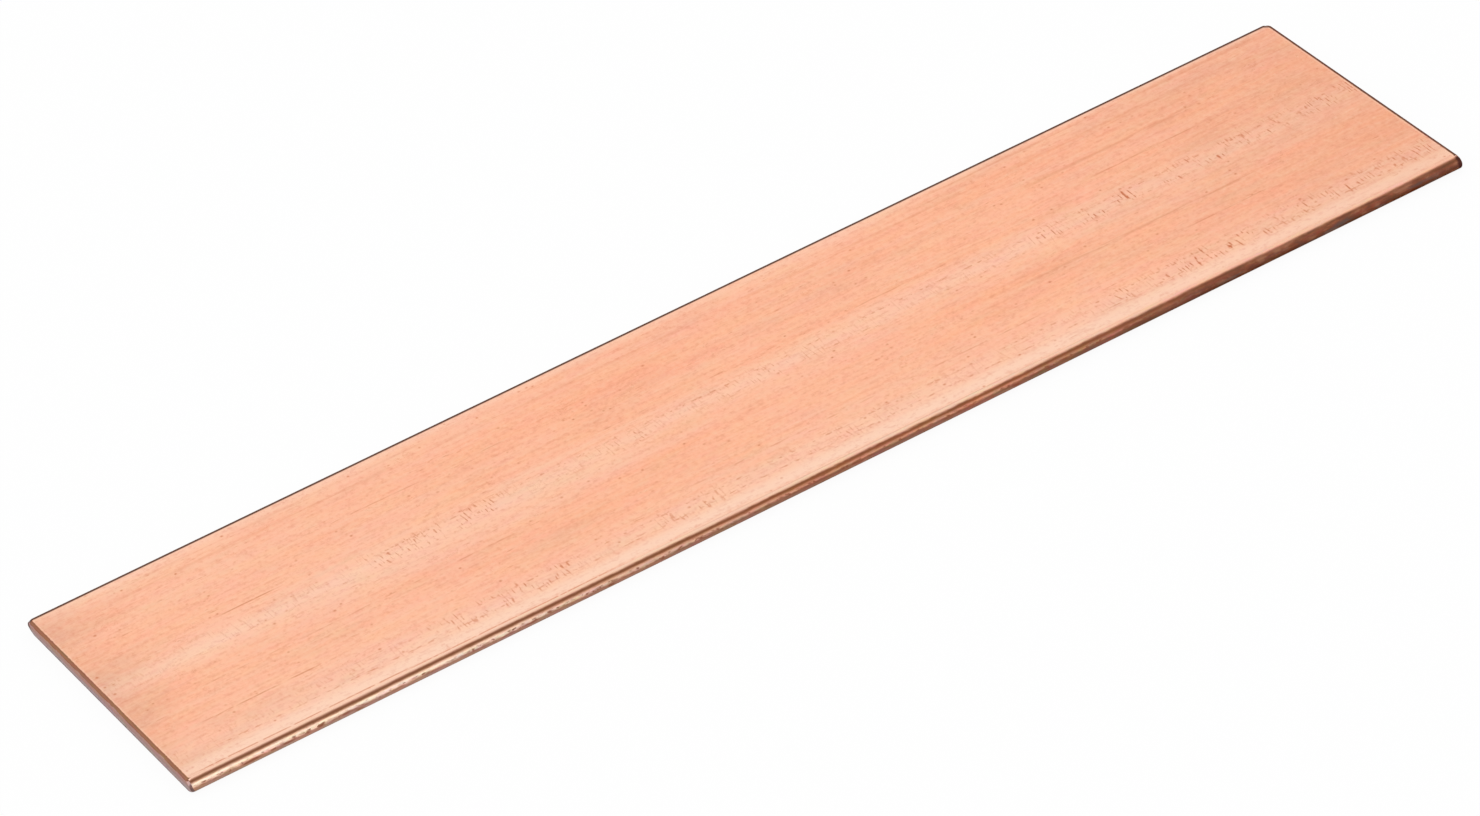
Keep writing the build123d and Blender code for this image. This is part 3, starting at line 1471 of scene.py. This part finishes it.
    @staticmethod
    def _join_underside(blank: bmesh.types.BMesh) -> None:
        """Join the flat faces of the underside into one.

        Args:
            blank: the formed blank.
        """
        blank.normal_update()
        flat = [face for face in blank.faces if face.normal.z < -1 + SNUG]
        bmesh.ops.dissolve_faces(blank, faces=flat, use_verts=True)

    @staticmethod
    def _crease(blank: bmesh.types.BMesh, limit: float = math.radians(38)) -> None:
        """Mark the edges that stay sharp."""
        for edge in blank.edges:
            edge.smooth = edge.calc_face_angle(0.0) < limit


# ---------------------------------------------------------------- the studio


@dataclass(frozen=True)
class Camera:
    """Long-lens camera that looks down on the bar from the front."""

    azimuth: float = -22.684
    elevation: float = 33.403
    roll: float = -13.030
    distance: float = 1.7314
    lens: float = 203.94
    aim: Vector = Vector((-0.00410, -0.00102, 0.0))
    sight: float = 50.0

    def place(self) -> bpy.types.Object:
        """Set the camera up and make it the scene's own.

        Returns:
            The camera.
        """
        data = bpy.data.cameras.new("camera")
        data.lens = self.lens
        data.clip_end = self.sight
        camera = new_object("camera", data)
        around, above = math.radians(self.azimuth), math.radians(self.elevation)
        back = Vector((
            math.sin(around) * math.cos(above),
            -math.cos(around) * math.cos(above),
            math.sin(above),
        ))
        camera.location = self.aim + back * self.distance
        camera.rotation_mode = "QUATERNION"
        level = (-back).to_track_quat("-Z", "Y")
        camera.rotation_quaternion = level @ Quaternion((0, 0, 1), math.radians(self.roll))
        bpy.context.scene.camera = camera
        return camera


@dataclass(frozen=True)
class SoftBox:
    """One large soft lamp: where it hangs, its size in metres and its power in watts."""

    name: str
    place: Vector
    size: float
    power: float

    def hang(self, target: Vector) -> bpy.types.Object:
        """Hang the lamp so that it faces a target.

        Args:
            target: the place that it faces.

        Returns:
            The lamp.
        """
        data = bpy.data.lights.new(self.name, "AREA")
        data.size = self.size
        data.energy = self.power
        lamp = new_object(self.name, data)
        lamp.location = self.place
        lamp.rotation_mode = "QUATERNION"
        lamp.rotation_quaternion = (target - self.place).to_track_quat("-Z", "Y")
        return lamp


@dataclass(frozen=True)
class Studio:
    """White floor, pale surroundings, soft lamps and the camera."""

    floor_size: float = 12.0
    floor_gap: float = 0.00005
    floor_white: Colour = (0.94, 0.94, 0.94)
    shown_white: float = 0.93
    overhead: Fade = Fade(0.55, 1.0, 1.0, 0.9)
    lamps: tuple[SoftBox, ...] = (
        SoftBox("front_softbox", Vector((0.65, -1.75, 0.85)), 1.0, 1.2),
        SoftBox("back_softbox", Vector((-0.9, 1.3, 1.6)), 1.4, 1.6),
    )

    def set_up(self) -> None:
        """Build the floor and the world, hang the lamps and place the camera."""
        self._floor()
        self._world()
        for lamp in self.lamps:
            lamp.hang(Vector())
        Camera().place()

    def _floor(self) -> None:
        """A plain white floor just under the bar, which shows white and keeps its shadow."""
        plane = bmesh.new()
        bmesh.ops.create_grid(plane, x_segments=1, y_segments=1, size=self.floor_size / 2)
        bmesh.ops.translate(plane, verts=plane.verts, vec=Vector((0, 0, -self.floor_gap)))
        mesh = bpy.data.meshes.new("studio_floor")
        plane.to_mesh(mesh)
        plane.free()
        material = new_material("studio_floor")
        sheet = NodeSheet(material.node_tree)
        paper = sheet.add("ShaderNodeBsdfDiffuse", {"Color": self.floor_white})
        glow = sheet.add("ShaderNodeEmission", {"Color": WHITE, "Strength": 1.0})
        path = sheet.add("ShaderNodeLightPath")
        rays = ("Is Camera Ray", "Is Glossy Ray", "Is Transmission Ray")
        seen = sheet.highest(*(path.outputs[ray] for ray in rays))
        share = sheet.product(seen, self.shown_white)
        mixed = sheet.add("ShaderNodeMixShader", {0: share, 1: paper.outputs[0], 2: glow.outputs[0]})
        sheet.add("ShaderNodeOutputMaterial", {"Surface": mixed.outputs[0]})
        mesh.materials.append(material)
        floor = new_object("studio_floor", mesh)

    def _world(self) -> None:
        """Pale surroundings: white to the camera, a little dimmer straight above."""
        world = bpy.data.worlds.new("studio")
        world.use_nodes = True
        bpy.context.scene.world = world
        sheet = NodeSheet(world.node_tree)
        _, _, up = sheet.parts(sheet.add("ShaderNodeTexCoord").outputs["Generated"])
        path = sheet.add("ShaderNodeLightPath")
        strength = sheet.highest(sheet.fade(up, self.overhead), path.outputs["Is Camera Ray"])
        light = sheet.add("ShaderNodeBackground", {"Color": WHITE, "Strength": strength})
        sheet.add("ShaderNodeOutputWorld", {"Surface": light.outputs[0]})


def main() -> None:
    """Build the finishes, the bar and the studio."""
    logging.basicConfig(level=logging.INFO, format="%(name)s: %(message)s")
    bpy.context.scene.view_settings.view_transform = "Standard"
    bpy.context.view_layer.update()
    low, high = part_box(BAR_NODE)
    length, width, thickness = (high - low) / MM
    bar = FlatBar(length, width, thickness)
    effects = SharedEffects()
    half, flat_half, end = length / 2, bar.edge.flat_half, bar.end
    sheared = (end.drag_run, end.drag_drop, end.tear_top)
    finishes: dict[Finish, BarFinish] = {
        Finish.ROLLED_FACE: RolledFaceFinish(half, flat_half, end.drag_run),
        Finish.ROLLED_EDGE: RolledEdgeFinish(thickness, flat_half, half),
        Finish.SHEARED_END: ShearedEndFinish(thickness, half, width / 2, flat_half, *sheared),
    }
    piece = bar.build({name: finish.material(effects) for name, finish in finishes.items()})
    log.info("%s: %d faces", piece.name, len(piece.data.polygons))
    Studio().set_up()
    log.info("studio: floor, surroundings, lamps and camera")


if __name__ == "__main__":
    main()
